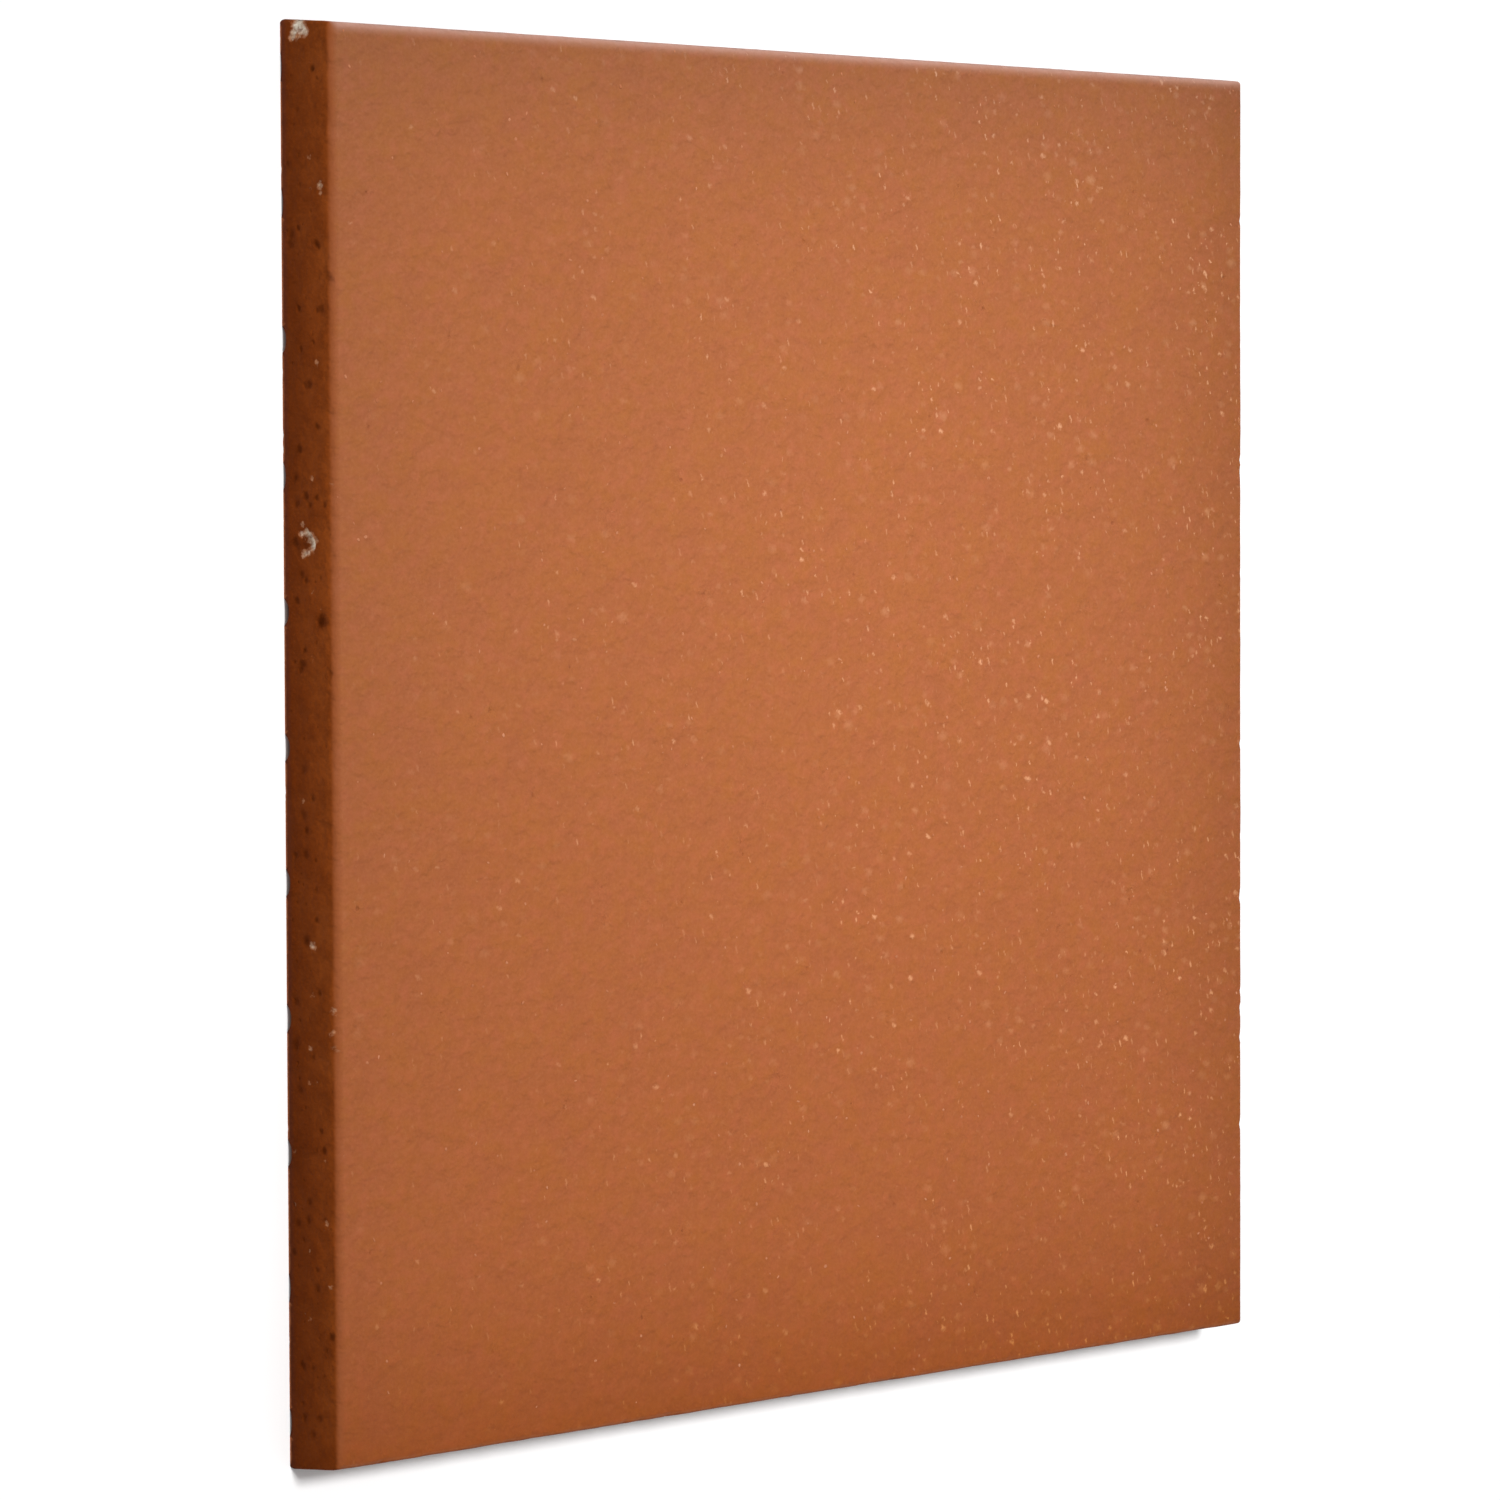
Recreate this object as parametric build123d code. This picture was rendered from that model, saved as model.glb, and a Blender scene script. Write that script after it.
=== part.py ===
from build123d import *

import os

# Split floor tile: a square plate of fired clay with rounded keying grooves along its back.
#
# The clay is pushed through a die as one long section, along X, and wire-cut to length, so the model
# is made the same way: one section across the tile, extruded, then eased round the walking face.
# Millimetres. The tile lies face up: the origin is the middle of its back, and +Z is the face's normal.

# The plate
tile_length = 240.0  # along X, the way the clay was extruded
tile_width = 240.0  # along Y, across the die, measured on the walking face
tile_thickness = 12.0  # from the back's lands to the walking face
side_flare = 1.0  # how much farther out each of the die's two sides lies at the back than at the face

# Its eased edges
arris_radius = 1.1  # round the walking face
corner_radius = 0.7  # the four upright corners
heel_radius = 0.5  # where the die's two sides meet the back

# The keying grooves in the back, which bedding mortar fills
groove_pitch = 22.6  # from one groove's middle to the next
groove_mouth = 4.4  # width at the back's lands, before the lips are eased
groove_depth = 1.4
groove_lip_radius = 0.4
least_edge_land = 3.0  # the narrowest land that may be left beside the outermost grooves


def groove_centres():
    """Where the grooves lie across the tile: one in the middle, and as many pairs as there is room for."""
    reach = tile_width / 2 - least_edge_land - groove_mouth / 2
    pairs = int(reach // groove_pitch)
    return [number * groove_pitch for number in range(-pairs, pairs + 1)]


def groove_section(centre):
    """One rounded groove, as it is cut out of the tile's section: an arc through its mouth and its root."""
    radius = (groove_mouth**2 / 4 + groove_depth**2) / (2 * groove_depth)
    return Pos(centre, groove_depth - radius) * Circle(radius)


def plate_section():
    """The plate across the die, before anything is cut from it: its sides lean out towards the back."""
    at_face = tile_width / 2
    at_back = at_face + side_flare
    corners = [(-at_back, 0), (at_back, 0), (at_face, tile_thickness), (-at_face, tile_thickness)]
    return Polygon(*corners, align=None)


def die_section():
    """The tile's section across the die, with its grooves and their softened edges."""
    section = plate_section() - [groove_section(centre) for centre in groove_centres()]
    lips = section.vertices().group_by(Axis.Y)[0].sort_by(Axis.X)[1:-1]
    section = fillet(lips, groove_lip_radius)
    on_back = section.vertices().group_by(Axis.Y)[0].sort_by(Axis.X)
    return fillet([on_back[0], on_back[-1]], heel_radius)


def split_tile():
    """The whole tile: the section extruded, rounded at its upright corners and eased round its walking face."""
    bar = extrude(Plane.YZ * die_section(), amount=tile_length / 2, both=True)
    block = extrude(Plane.YZ * plate_section(), amount=tile_length / 2, both=True)
    uprights = block.edges().filter_by(Axis.X, reverse=True).filter_by(Axis.Y, reverse=True)
    blank = bar & fillet(uprights, corner_radius)
    face_outline = blank.faces().sort_by(Axis.Z)[-1].outer_wire().edges()
    return fillet(face_outline, arris_radius)


os.makedirs("parts", exist_ok=True)
export_step(split_tile(), "parts/split_tile.step")
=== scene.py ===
import math
import random

import bmesh
import bpy
import numpy as np
from mathutils import Euler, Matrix, Vector, kdtree, noise
from mathutils.geometry import delaunay_2d_cdt


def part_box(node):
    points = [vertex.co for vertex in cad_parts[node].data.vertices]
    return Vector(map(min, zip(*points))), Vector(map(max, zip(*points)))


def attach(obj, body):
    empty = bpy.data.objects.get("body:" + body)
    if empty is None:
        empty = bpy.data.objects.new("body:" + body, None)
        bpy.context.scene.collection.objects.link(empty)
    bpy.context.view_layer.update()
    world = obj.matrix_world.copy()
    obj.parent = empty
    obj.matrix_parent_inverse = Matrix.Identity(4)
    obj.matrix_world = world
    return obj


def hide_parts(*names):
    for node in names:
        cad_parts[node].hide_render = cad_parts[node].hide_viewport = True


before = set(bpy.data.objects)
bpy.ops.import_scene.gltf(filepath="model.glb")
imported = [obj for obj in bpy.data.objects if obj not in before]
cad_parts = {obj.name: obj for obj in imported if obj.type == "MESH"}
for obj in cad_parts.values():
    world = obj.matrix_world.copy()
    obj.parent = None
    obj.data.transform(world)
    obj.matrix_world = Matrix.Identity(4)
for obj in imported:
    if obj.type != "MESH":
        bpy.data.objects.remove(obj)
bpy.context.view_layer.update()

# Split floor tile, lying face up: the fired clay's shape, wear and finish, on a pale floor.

SEED = 41
MM = 0.001  # the tile's mesh is worked out in millimetres, and the scene is in metres

# The tile's sizes in millimetres: the plate from the frame, its edges and grooves as in the solid
tile_low, tile_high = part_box("split_tile")
HALF_X = tile_high.x / MM
HALF_Y = 120.0  # at the walking face
FLARE = tile_high.y / MM - HALF_Y  # how far the die's two sides lean out to the back
GRIT_RISE = 0.1  # how far the sand grains stand out of the walking face
FACE_Z = tile_high.z / MM - GRIT_RISE
ARRIS = 1.1
CORNER = 0.7
TOP_CORNER = 0.12  # what is left of the corner's radius inside the arris
HEEL = 0.5
GROOVE_PITCH = 22.6
GROOVE_MOUTH = 4.4
GROOVE_DEPTH = 1.4
GROOVE_LIP = 0.4
LEAST_EDGE_LAND = 3.0
SIDE_TOP = FACE_Z - ARRIS

# How finely each surface is meshed, in millimetres
FINE_STEP = 0.55  # on the cut end that the camera sees
SIDE_STEP = 1.0  # on the other three sides
LAND_STEP = 1.9
FACE_STEP = 2.6
ARRIS_STEPS = 6
CORNER_STEPS = 4
HEEL_STEPS = 2
LIP_STEPS = 2
GROOVE_STEPS = 8

# The camera, fitted to the photograph's view of the tile
CAMERA_PLACE = (-0.8322, 0.0476, 0.7725)
CAMERA_TURN = (-2.4146, -46.9096, -0.3021)  # degrees about X, Y and Z
CAMERA_LENS = 151.16  # on a 36 mm sensor

# Pits in the cut end that the camera sees, listed one by one: (y, z, width, depth) in millimetres
CUT_END_PITS = [
    (112.4, 7.6, 1.3, 0.5),
    (96.8, 1.6, 1.2, 0.4),
    (86.3, 4.0, 1.0, 0.4),
    (85.2, 2.4, 1.6, 0.5),
    (83.6, 2.2, 1.7, 0.5),
    (83.5, 8.5, 1.5, 0.6),
    (77.9, 11.2, 1.5, 0.4),
    (73.0, 4.0, 1.2, 0.5),
    (72.7, 9.6, 1.3, 0.5),
    (72.6, 8.4, 1.0, 0.4),
    (66.2, 4.5, 1.1, 0.4),
    (60.3, 6.5, 1.3, 0.5),
    (60.2, 5.4, 0.9, 0.4),
    (53.4, 8.3, 1.2, 0.4),
    (49.7, 3.9, 1.4, 0.6),
    (45.0, 3.0, 1.3, 0.5),
    (41.8, 5.6, 1.5, 0.6),
    (41.7, 8.0, 1.0, 0.4),
    (40.7, 3.3, 1.4, 0.5),
    (40.5, 9.9, 1.0, 0.4),
    (40.4, 6.4, 1.0, 0.5),
    (34.1, 2.9, 1.9, 0.6),
    (28.9, 4.3, 1.2, 0.4),
    (27.9, 5.4, 1.1, 0.4),
    (24.7, 3.1, 1.2, 0.5),
    (21.2, 9.2, 2.3, 1.0),
    (20.8, 8.4, 1.5, 0.6),
    (16.4, 5.0, 1.0, 0.4),
    (14.0, 4.2, 1.6, 0.6),
    (13.1, 3.8, 1.2, 0.5),
    (12.6, 10.9, 1.2, 0.4),
    (-3.6, 4.4, 1.6, 0.4),
    (-8.3, 6.7, 1.0, 0.4),
    (-11.2, 4.3, 1.7, 0.4),
    (-13.6, 5.0, 1.2, 0.5),
    (-17.7, 4.8, 1.4, 0.5),
    (-17.8, 2.4, 1.1, 0.4),
    (-28.4, 7.4, 1.1, 0.4),
    (-32.0, 4.8, 1.8, 0.7),
    (-40.6, 8.0, 1.1, 0.4),
    (-42.2, 2.3, 1.5, 0.5),
    (-49.5, 2.2, 1.8, 0.6),
    (-51.4, 6.4, 1.0, 0.3),
    (-56.9, 3.0, 1.6, 0.4),
    (-63.5, 8.2, 1.0, 0.4),
    (-66.8, 8.8, 1.3, 0.6),
    (-75.6, 5.2, 1.1, 0.4),
    (-78.6, 4.9, 1.3, 0.5),
    (-79.3, 2.3, 1.4, 0.4),
    (-84.2, 1.3, 1.3, 0.4),
    (-86.8, 7.0, 0.9, 0.3),
    (-89.8, 6.9, 1.5, 0.4),
    (-97.7, 10.2, 1.4, 0.6),
    (-103.0, 3.2, 1.5, 0.6),
    (-103.4, 5.8, 1.0, 0.3),
    (-111.7, 7.4, 1.1, 0.4),
    (-111.8, 3.7, 1.3, 0.5),
    (-114.4, 5.7, 1.2, 0.4),
]

# Pale lime in the same end, as (y, z, width, strength): a broken patch at its corner,
# the rim of a burst pit, and single specks
CORNER_LIME = [
    (120.0, 3.7, 2.6, 1.0),
    (119.4, 4.4, 2.6, 1.0),
    (119.0, 3.5, 2.4, 1.0),
    (118.7, 5.2, 2.4, 1.0),
    (118.4, 4.3, 2.0, 0.9),
    (118.1, 6.1, 1.8, 0.85),
    (118.1, 3.1, 2.0, 1.0),
    (117.3, 2.9, 1.7, 0.85),
]
RIM_LIME = [
    (37.0, 4.7, 1.3, 0.5),
    (36.1, 5.2, 1.3, 0.8),
    (35.8, 5.7, 1.7, 1.0),
    (35.7, 4.3, 1.6, 0.8),
    (35.4, 4.8, 1.2, 0.65),
    (35.3, 6.1, 1.9, 1.0),
    (34.9, 6.4, 1.9, 1.0),
    (34.4, 6.7, 1.9, 1.0),
    (34.4, 7.7, 2.0, 0.45),
    (33.9, 6.9, 1.7, 1.0),
    (33.4, 7.0, 1.5, 0.9),
    (33.0, 6.8, 1.2, 0.7),
    (32.6, 5.9, 1.6, 0.8),
    (32.4, 5.2, 1.7, 0.85),
    (32.1, 4.6, 1.4, 0.7),
]
PALE_SPECKS = [
    (98.0, 6.9, 1.2, 0.35),
    (93.1, 9.3, 1.6, 0.75),
    (91.9, 9.4, 1.0, 0.5),
    (64.0, 8.3, 1.0, 0.55),
    (44.9, 7.0, 1.1, 0.55),
    (26.1, 6.7, 1.1, 0.5),
    (23.0, 8.8, 0.9, 0.4),
    (15.1, 7.0, 1.2, 0.4),
    (-8.6, 4.3, 1.1, 0.6),
    (-32.8, 6.3, 1.7, 0.8),
    (-41.1, 6.4, 1.2, 0.4),
    (-49.9, 5.6, 1.2, 0.6),
    (-55.7, 5.4, 0.9, 0.5),
    (-68.5, 9.0, 1.0, 0.35),
    (-78.9, 9.3, 1.1, 0.55),
    (-89.3, 10.3, 1.4, 0.45),
    (-95.2, 5.1, 1.1, 0.5),
]
BURST_PIT = (34.0, 4.9, 2.6, 0.45)

# Nicks in the arris over that end: (y, width, depth)
ARRIS_NICKS = [
    (44.1, 1.0, 0.15),
    (-43.7, 2.0, 0.15),
    (-47.0, 1.7, 0.10),
    (-50.1, 1.9, 0.15),
]

# How open each groove is left where the wire cut that end, from low y to high y
GROOVE_ENDS = [0.35, 0.3, 0.7, 0.75, 0.75, 0.85, 0.85, 0.45, 0.7, 0.3, 0.2]

# How many random pores and worn spots there are on each surface
END_PORES = 70
SIDE_PORES = 45
FACE_PORES = 70
ARRIS_WEAR = 18
FOOT_WEAR = 14

# The clay's colours, linear. Each layer is (noise, its low, its high, strongest share, colour laid over)
FACE_CLAY = (0.34, 0.102, 0.030, 1)
FACE_LAYERS = [
    ("blotch", 0.3, 0.7, 0.3, (0.38, 0.113, 0.032, 1)),
    ("patch", 0.4, 0.65, 0.45, (0.325, 0.091, 0.0325, 1)),
    ("mottle", 0.4, 0.65, 0.55, (0.365, 0.121, 0.0275, 1)),
    ("ripple", 0.45, 0.7, 0.5, (0.40, 0.112, 0.046, 1)),
    ("crumb", 0.4, 0.75, 0.35, (0.275, 0.075, 0.020, 1)),
    ("grain", 0.45, 0.75, 0.25, (0.445, 0.16, 0.066, 1)),
]
# The sides' clay, set darker than the face: partly a deeper clay, partly painted shade; darker still towards
# the foot as painted shade
WALL_FOOT_SHADED_CLAY = (0.135, 0.024, 0.0018, 1)
WALL_TOP_SHADED_CLAY = (0.283, 0.064, 0.0088, 1)
WALL_LAYERS = [
    ("patch", 0.35, 0.65, 0.45, (0.235, 0.046, 0.0048, 1)),
    ("mottle", 0.4, 0.65, 0.45, (0.15, 0.026, 0.0026, 1)),
    ("crumb", 0.48, 0.72, 0.4, (0.13, 0.023, 0.0024, 1)),
    ("grain", 0.55, 0.75, 0.25, (0.30, 0.075, 0.012, 1)),
]
WALL_CLOUD = (0.095, 0.0165, 0.0015, 1)
# Painted shade along the foot of the sides, in a purple-dark band
WALL_FOOT_PAINTED_SHADE = (0.095, 0.027, 0.018, 1)
# Painted shade on the sides, deepening towards low y
WALL_LOW_Y_PAINTED_SHADE = (0.80, 0.76, 0.62, 1)
BACK_CLAY = (0.41, 0.125, 0.045, 1)
BACK_LAYERS = [
    ("mottle", 0.3, 0.7, 1.0, (0.50, 0.18, 0.075, 1)),
    ("crumb", 0.45, 0.7, 0.6, (0.34, 0.092, 0.03, 1)),
]
ARRIS_CLAY = (0.33, 0.095, 0.027, 1)
# Painted shade on the face's arris over the shaded cut end
NEAR_END_PAINTED_SHADE = (0.25, 0.060, 0.011, 1)
# A painted sheen: a pale highlight on the arris at high y, facing the light
ARRIS_PAINTED_SHEEN = (0.60, 0.38, 0.32, 1)
# Painted shade inside the pits and pores
PIT_SHADE = (0.075, 0.0125, 0.0012, 1)
THIN_LIME = (0.60, 0.27, 0.13, 1)
THICK_LIME = (0.93, 0.86, 0.72, 1)
STAINED_LIME = (0.55, 0.36, 0.23, 1)

# Painted shade on the face: towards low y, and at its four margins, where the light falls off: (axis, where
# it starts, colour)
FACE_LOW_Y_PAINTED_SHADE = (0.97, 0.82, 0.61, 1)
FACE_MARGIN_PAINTED_SHADE = [
    (0, -0.08, (0.92, 0.92, 0.92, 1)),
    (0, 0.08, (0.83, 0.81, 0.73, 1)),
    (1, -0.08, (0.80, 0.69, 0.34, 1)),
    (1, 0.08, (0.83, 0.87, 0.96, 1)),
]

# Pale specks in the face, as crumbs, slivers and soft spots: partly pale sand, partly painted glints, with
# more of them towards high x, where they stand for glints of the light:
# (stretch, cells to a metre, rarity at low x, rarity at high x, widest, strength)
SPECK_AND_GLINT_COLOUR = (0.68, 0.33, 0.18, 1)
SPECK_AND_GLINT_LAYERS = [
    ((0.8, 1.0, 1.0), 260.0, 0.93, 0.42, 0.18, 1.0),
    ((1.2, 0.6, 1.0), 480.0, 0.90, 0.25, 0.21, 1.0),
    ((0.7, 1.0, 1.0), 340.0, 0.62, 0.22, 0.42, 0.30),
]

# The clay's fine relief: how much each noise adds to it, and its height in metres
BUMP_WEIGHTS = {"mottle": 1.5, "ripple": 0.55, "crumb": 0.3, "grain": 0.1}
BUMP_HEIGHT = 0.0007


class Skin:
    """The points and faces of the tile's surfaces, as they are collected."""

    def __init__(self):
        self.points = []
        self.faces = []

    def add(self, points, faces):
        start = len(self.points)
        self.points.extend(tuple(point) for point in points)
        self.faces.extend(tuple(start + index for index in face) for face in faces)

    def strip(self, lower, upper, closed=False):
        """Quads between two runs of points."""
        count = len(lower)
        last = count if closed else count - 1
        quads = []
        for index in range(last):
            following = (index + 1) % count
            quads.append((index, following, count + following, count + index))
        self.add(list(lower) + list(upper), quads)

    def fill(self, outline, inner, lift):
        """Triangles inside a flat outline and through its inner points, lifted into place."""
        flat = [Vector(point) for point in outline] + [Vector(point) for point in inner]
        made = delaunay_2d_cdt(flat, [], [list(range(len(outline)))], 1, 1e-7)
        self.add([lift(point.x, point.y) for point in made[0]], made[2])


class Side:
    """One of the tile's four upright sides, seen from outside with u to the right and z up."""

    def __init__(self, name, outward, step):
        self.name = name
        self.outward = np.array(outward, float)
        self.along = np.array((-outward[1], outward[0]), float)
        self.reach = HALF_X if outward[0] else HALF_Y
        self.run = (HALF_Y if outward[0] else HALF_X) - CORNER
        self.step = step
        self.shares = np.linspace(-1, 1, round(2 * self.run / step) + 1)

    def lift(self, u, z):
        flat = self.outward * self.reach + self.along * u
        return flat[0], flat[1], z

    def normal(self):
        return Vector((self.outward[0], self.outward[1], 0))


X_HIGH = Side("x_high", (1, 0), SIDE_STEP)
Y_HIGH = Side("y_high", (0, 1), SIDE_STEP)
X_LOW = Side("x_low", (-1, 0), FINE_STEP)
Y_LOW = Side("y_low", (0, -1), SIDE_STEP)
SIDES = [X_HIGH, Y_HIGH, X_LOW, Y_LOW]  # anticlockwise, seen from above


def ring(inset, corner):
    """Points once round the tile: each side's stations, then the rounded corner that follows it."""
    runs = []
    for side in SIDES:
        reach = side.reach - inset
        run = side.run + CORNER - inset - corner
        runs.append([side.outward * reach + side.along * run * share for share in side.shares])
        middle = side.outward * (reach - corner) + side.along * run
        turn = []
        for step in range(CORNER_STEPS + 1):
            angle = math.pi / 2 * step / CORNER_STEPS
            turn.append(middle + corner * (side.outward * math.cos(angle) + side.along * math.sin(angle)))
        runs.append(turn)
    return runs


def joined(runs, z):
    """The runs of a ring as one closed loop at one height."""
    loop = []
    for number, run in enumerate(runs):
        points = run[1:-1] if number % 2 else run
        loop.extend((point[0], point[1], z) for point in points)
    return loop


def heel_ring(step):
    """The ring round the tile's foot at one step of the heel's rounding, which only the die's sides have."""
    angle = math.pi / 2 * step / HEEL_STEPS
    z = HEEL * (1 - math.sin(angle))
    inset = HEEL * (1 - math.cos(angle))
    runs = []
    for number, run in enumerate(ring(0, CORNER)):
        side = SIDES[number // 2]
        points = []
        for index, point in enumerate(run):
            share = abs(side.outward[1])
            if number % 2:
                turn = math.pi / 2 * index / CORNER_STEPS
                share = math.sin(turn) ** 2 if side.outward[0] else math.cos(turn) ** 2
            points.append((point[0], point[1] - math.copysign(inset * share, point[1]), z))
        runs.append(points)
    return runs


def graded(half, fine, coarse):
    """Places from -half to half that are close together at the ends and wider apart in the middle."""
    reach = [0.0]
    gap = fine
    while reach[-1] < half:
        reach.append(reach[-1] + gap)
        gap = min(coarse, gap * 1.3)
    inward = half - np.array(reach) * half / reach[-1]
    return np.concatenate([-inward, inward[-2::-1]])


def evenly(low, high, step):
    return np.linspace(low, high, max(1, round((high - low) / step)) + 1)


def groove_centres():
    """Where the grooves lie across the tile: one in the middle, and as many pairs as there is room for."""
    reach = HALF_Y - LEAST_EDGE_LAND - GROOVE_MOUTH / 2
    pairs = int(reach // GROOVE_PITCH)
    return [number * GROOVE_PITCH for number in range(-pairs, pairs + 1)]


def groove_profile():
    """The groove's section from lip to lip, as (y, z) from its middle: an arc between two eased lips."""
    radius = (GROOVE_MOUTH**2 / 4 + GROOVE_DEPTH**2) / (2 * GROOVE_DEPTH)
    middle = GROOVE_DEPTH - radius
    lip_y = math.sqrt((radius + GROOVE_LIP) ** 2 - (GROOVE_LIP - middle) ** 2)
    lean = math.atan2(GROOVE_LIP - middle, lip_y)
    half = []
    for step in range(LIP_STEPS):
        angle = -math.pi / 2 + (math.pi / 2 - lean) * step / LIP_STEPS
        half.append((-lip_y + GROOVE_LIP * math.cos(angle), GROOVE_LIP + GROOVE_LIP * math.sin(angle)))
    for step in range(GROOVE_STEPS // 2):
        angle = math.pi - lean - (math.pi / 2 - lean) * step / (GROOVE_STEPS // 2)
        half.append((radius * math.cos(angle), middle + radius * math.sin(angle)))
    return half + [(0.0, GROOVE_DEPTH)] + [(-y, z) for y, z in reversed(half)]


PROFILE = groove_profile()
LIP_Y = PROFILE[-1][0]
LAND_END = HALF_Y - CORNER


def foot_line(step):
    """The bottom edge of a cut end, across lands and grooves, as (y, z) from low to high y."""
    line = []
    low = -LAND_END
    for centre in groove_centres():
        line.extend((y, 0.0) for y in evenly(low, centre - LIP_Y, step)[:-1])
        line.extend((centre + y, z) for y, z in PROFILE[:-1])
        low = centre + LIP_Y
    line.extend((y, 0.0) for y in evenly(low, LAND_END, step))
    return line


def inner_grid(u_low, u_high, v_low, v_high, step, rng):
    """Staggered, slightly uneven points inside a rectangle."""
    points = []
    rows = max(2, round((v_high - v_low) / (step * 0.87)))
    count = max(2, round((u_high - u_low) / step))
    for row in range(1, rows):
        v = v_low + (v_high - v_low) * row / rows
        for index in range(1, count):
            u = u_low + (u_high - u_low) * (index + 0.5 * (row % 2) - 0.25) / count
            points.append((u + rng.uniform(-0.15, 0.15) * step, v + rng.uniform(-0.12, 0.12) * step))
    return points


def dent_points(u, v, width):
    """Rings of points that let a small dent be shaped in a coarser surface."""
    points = [(u, v)]
    for share, count in ((0.4, 6), (0.75, 9), (1.0, 11), (1.25, 11)):
        for index in range(count):
            angle = 2 * math.pi * (index + 0.5 * (count % 2)) / count
            points.append((u + width / 2 * share * math.cos(angle), v + width / 2 * share * math.sin(angle)))
    return points


def with_dents(points, dents):
    """Grid points, with those at each dent replaced by the dent's rings."""
    kept = np.array(points)
    for u, v, width in dents:
        apart = np.hypot(kept[:, 0] - u, kept[:, 1] - v)
        kept = np.concatenate([kept[apart > width * 0.75], np.array(dent_points(u, v, width))])
    return kept


def cut_end(skin, side, dents, rng):
    """One of the two wire-cut ends, with the grooves' open ends along its foot."""
    foot = foot_line(side.step)
    if side is X_LOW:
        foot = [(-y, z) for y, z in reversed(foot)]
    heel_angles = [math.pi / 2 * step / HEEL_STEPS for step in range(HEEL_STEPS, 0, -1)]
    heel_levels = [HEEL * (1 - math.sin(angle)) for angle in heel_angles]
    levels = heel_levels + list(evenly(HEEL, SIDE_TOP, 1.0))
    outline = list(foot)
    outline += [(side.run, z) for z in levels[1:-1]]
    outline += [(side.run * share, SIDE_TOP) for share in side.shares[::-1]]
    outline += [(-side.run, z) for z in levels[-2:0:-1]]
    inner = with_dents(inner_grid(-side.run, side.run, 0, SIDE_TOP, side.step, rng), dents)
    near_foot = np.abs((inner[:, 0] + GROOVE_PITCH / 2) % GROOVE_PITCH - GROOVE_PITCH / 2) < LIP_Y + 0.2
    low = np.where(near_foot, GROOVE_DEPTH, 0) + 0.3 * side.step
    clear = (inner[:, 1] > low) & (inner[:, 1] < SIDE_TOP - 0.3 * side.step)
    clear &= np.abs(inner[:, 0]) < side.run - 0.3 * side.step
    skin.fill(outline, inner[clear], side.lift)


def die_side(skin, side, dents, rng):
    """One of the two sides that the die shaped."""
    outline = [(side.run * share, HEEL) for share in side.shares]
    outline += [(side.run, z) for z in evenly(HEEL, SIDE_TOP, 1.0)[1:-1]]
    outline += [(side.run * share, SIDE_TOP) for share in side.shares[::-1]]
    outline += [(-side.run, z) for z in evenly(HEEL, SIDE_TOP, 1.0)[-2:0:-1]]
    inner = with_dents(inner_grid(-side.run, side.run, HEEL, SIDE_TOP, side.step, rng), dents)
    clear = (inner[:, 1] > HEEL + 0.3) & (inner[:, 1] < SIDE_TOP - 0.3)
    clear &= np.abs(inner[:, 0]) < side.run - 0.3
    skin.fill(outline, inner[clear], side.lift)


def walking_face(skin, outline, dents, rng):
    """The flat face, meshed more finely along its arris."""
    inner = []
    for inset, step in ((0.7, 0.9), (1.8, 1.5), (3.4, 2.1)):
        half_x = HALF_X - ARRIS - inset
        half_y = HALF_Y - ARRIS - inset
        for x in evenly(-half_x, half_x, step)[1:]:
            inner += [(x, half_y), (-x, -half_y)]
        for y in evenly(-half_y, half_y, step)[1:]:
            inner += [(-half_x, y), (half_x, -y)]
    half_x = HALF_X - ARRIS - 4.2
    half_y = HALF_Y - ARRIS - 4.2
    inner += inner_grid(-half_x, half_x, -half_y, half_y, FACE_STEP, rng)
    skin.fill(outline, with_dents(inner, dents), lambda x, y: (x, y, FACE_Z))


def lands(skin, rng):
    """The back between the grooves, where the tile was split from its twin."""
    stations = graded(HALF_X, 0.7, LAND_STEP)
    centres = groove_centres()
    foot = [[(point[0], point[1]) for point in run] for run in heel_ring(HEEL_STEPS)]

    def on_back(x, y):
        return x, y, 0.0

    for low, high in zip(centres, centres[1:]):
        low_y = low + LIP_Y
        high_y = high - LIP_Y
        outline = [(x, low_y) for x in stations]
        outline += [(HALF_X, y) for y in evenly(low_y, high_y, SIDE_STEP)[1:-1]]
        outline += [(x, high_y) for x in stations[::-1]]
        outline += [(-HALF_X, y) for y in evenly(low_y, high_y, FINE_STEP)[-2:0:-1]]
        inner = inner_grid(-HALF_X, HALF_X, low_y, high_y, LAND_STEP, rng)
        skin.fill(outline, inner, on_back)

    low_y = centres[-1] + LIP_Y
    outline = [(x, low_y) for x in stations]
    outline += [(HALF_X, y) for y in evenly(low_y, LAND_END, SIDE_STEP)[1:-1]]
    outline += foot[1][:-1] + foot[2][:-1] + foot[3]
    outline += [(-HALF_X, y) for y in evenly(low_y, LAND_END, FINE_STEP)[-2:0:-1]]
    inner = inner_grid(-HALF_X, HALF_X, low_y, HALF_Y - HEEL, LAND_STEP, rng)
    skin.fill(outline, inner, on_back)

    high_y = centres[0] - LIP_Y
    outline = [(x, high_y) for x in stations[::-1]]
    outline += [(-HALF_X, y) for y in evenly(-LAND_END, high_y, FINE_STEP)[-2:0:-1]]
    outline += foot[5][:-1] + foot[6][:-1] + foot[7]
    outline += [(HALF_X, y) for y in evenly(-LAND_END, high_y, SIDE_STEP)[1:-1]]
    inner = inner_grid(-HALF_X, HALF_X, -HALF_Y + HEEL, high_y, LAND_STEP, rng)
    skin.fill(outline, inner, on_back)

    for centre in centres:
        runs = [[(x, centre + y, z) for x in stations] for y, z in PROFILE]
        for lower, upper in zip(runs, runs[1:]):
            skin.strip(lower, upper)


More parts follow.
